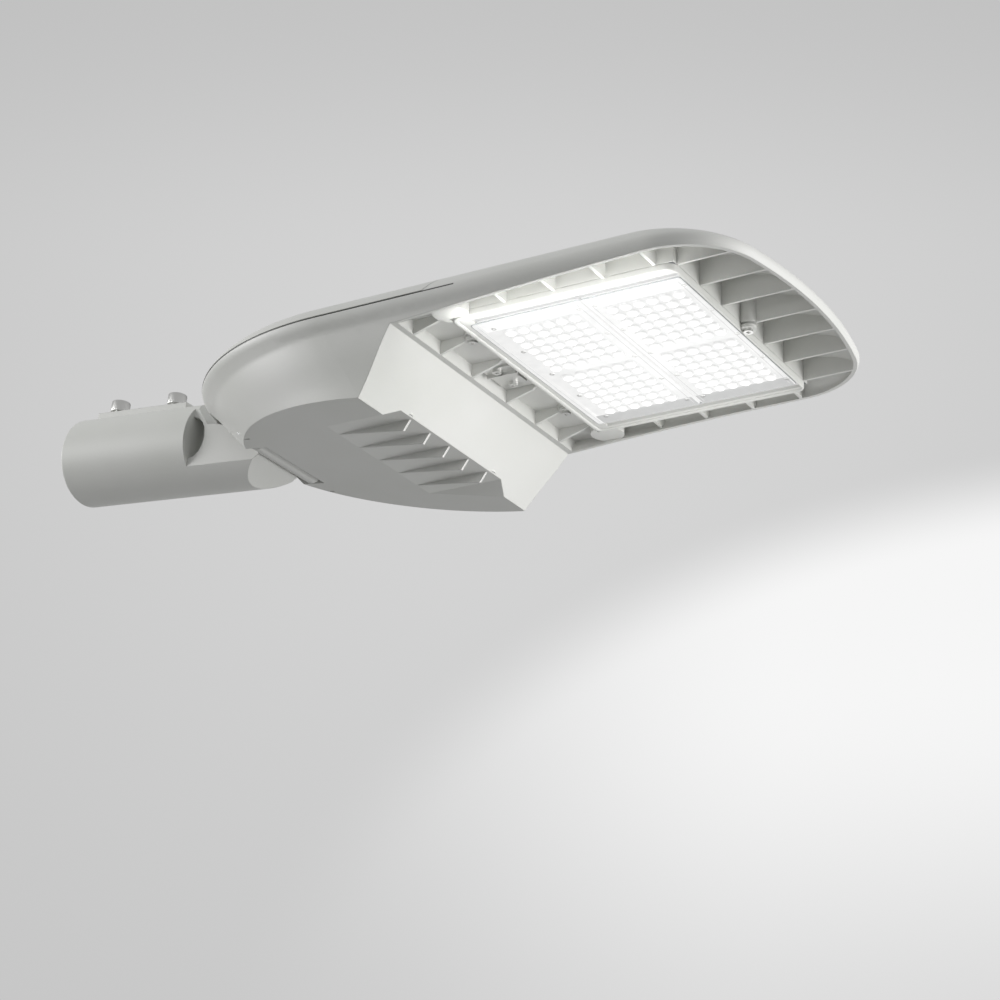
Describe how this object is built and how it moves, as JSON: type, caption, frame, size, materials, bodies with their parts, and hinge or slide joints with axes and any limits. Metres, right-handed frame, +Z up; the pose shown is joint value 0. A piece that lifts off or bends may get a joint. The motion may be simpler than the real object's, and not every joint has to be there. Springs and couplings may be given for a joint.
{
  "type": "led street light head",
  "caption": "Street light head with a lensed light panel in a ribbed rim, a hinged gear cover and a tilting clamp-on socket for a mast arm.",
  "frame": {"origin": "on the axis of the pole socket, at its mouth", "axes": "+X from the socket towards the lit tip, +Z up, so the light panel faces -Z; the socket's axis climbs 5 degrees towards the pole"},
  "size_m": [0.6919, 0.2892, 0.1164],
  "materials": {
    "light_grey_paint": "fine powder coating on die-cast aluminium",
    "stainless": "plain stainless steel",
    "zinc_steel": "zinc-plated steel",
    "silicone": "moulded silicone",
    "clear_acrylic": "clear moulded acrylic",
    "board_white": "white solder resist on aluminium",
    "led_yellow": "phosphor over a ceramic carrier",
    "grey_plastic": "moulded polyamide",
    "white_plastic": "moulded polycarbonate",
    "dark_plastic": "moulded polyamide"
  },
  "bodies": {
    "arm": {"pole_adaptor": "light_grey_paint", "pole_clamp_screws": "stainless"},
    "head": {"bracket_screws": "stainless", "cable_clamp": "grey_plastic", "cable_gland": "dark_plastic", "clamp_saddle_screws": "zinc_steel", "cover_gasket": "silicone", "driver_screws": "zinc_steel", "driver_tray": "zinc_steel", "frame_gasket": "silicone", "frame_screws": "stainless", "gland_nut": "dark_plastic", "isolator_switch": "dark_plastic", "led_board_front": "board_white", "led_board_rear": "board_white", "led_chips": "led_yellow", "led_driver": "white_plastic", "led_frame": "light_grey_paint", "lens_gaskets": "silicone", "lens_plate_front": "clear_acrylic", "lens_plate_rear": "clear_acrylic", "lens_screws": "stainless", "lower_housing": "light_grey_paint", "pin_keepers": "stainless", "surge_protector": "grey_plastic", "terminal_block": "grey_plastic", "tilt_lock_screws": "stainless", "tilt_pin": "stainless", "tray_screws": "zinc_steel", "trough_bracket": "stainless"},
    "cover": {"top_cover": "light_grey_paint", "cover_hinge_pins": "stainless", "cover_screws": "stainless"}
  },
  "joints": [
    {"name": "tilt", "type": "hinge", "parent": "arm", "child": "head", "pos_m": [0.21043, 0, -0.03297], "axis": [0, -1, 0], "range_deg": [-15, 0]},
    {"name": "cover_hinge", "type": "hinge", "parent": "head", "child": "cover", "pos_m": [0.45428, 0, 0.03433], "axis": [0, 1, 0], "range_deg": [0, 95]}
  ]
}
